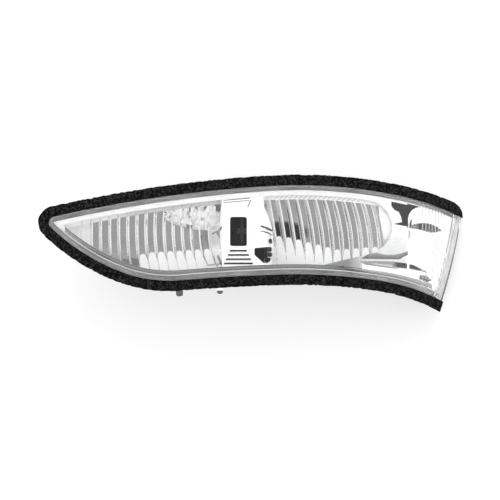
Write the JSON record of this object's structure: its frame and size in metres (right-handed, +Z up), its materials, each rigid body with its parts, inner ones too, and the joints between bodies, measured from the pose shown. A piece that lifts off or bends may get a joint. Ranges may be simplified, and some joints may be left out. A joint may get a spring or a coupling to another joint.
{
  "type": "mirror turn signal lamp",
  "caption": "Clear-lensed turn signal lamp for a door mirror, with fluted reflectors, a foam gasket and a plug socket at the back.",
  "frame": {"origin": "mouth of the main fixing boss at the middle of the back", "axes": "+X along the lamp towards its outboard end, +Y out of the back along the fixing bores, +Z up; the lens faces -Y"},
  "size_m": [0.2135, 0.05, 0.0691],
  "materials": {
    "lens_plastic": "clear moulded plastic, polished",
    "foam": "open-cell foam, matt",
    "film": "adhesive film",
    "sealant": "cured bead",
    "housing_plastic": "fine moulded grain",
    "bright_coating": "vacuum-coated aluminium on plastic",
    "circuit_laminate": "solder resist",
    "led_body": "white moulded body",
    "component_body": "moulded",
    "component_pale": "ceramic",
    "pin_metal": "tin plated",
    "screw_steel": "zinc plated",
    "socket_plastic": "moulded",
    "seal_rubber": "matt",
    "wire_jacket": "satin",
    "membrane": "expanded membrane"
  },
  "bodies": {
    "root": {"lens": "lens_plastic", "foam_gasket": "foam", "gasket_film": "film", "sealing_bead": "sealant", "housing": "housing_plastic", "vent_membrane": "membrane", "reflector": "bright_coating", "centre_shroud": "bright_coating", "end_reflector": "bright_coating", "circuit_board": "circuit_laminate", "led_board": "circuit_laminate", "end_board": "circuit_laminate", "led_left": "led_body", "led_right": "led_body", "led_end": "led_body", "resistors": "component_body", "diode": "component_body", "capacitor": "component_pale", "regulator": "component_body", "connector_socket": "socket_plastic", "socket_seal": "seal_rubber", "terminals": "pin_metal", "reflector_screws": "screw_steel", "board_screws": "screw_steel", "end_board_screw": "screw_steel", "jumper_wires": "wire_jacket"}
  },
  "joints": []
}
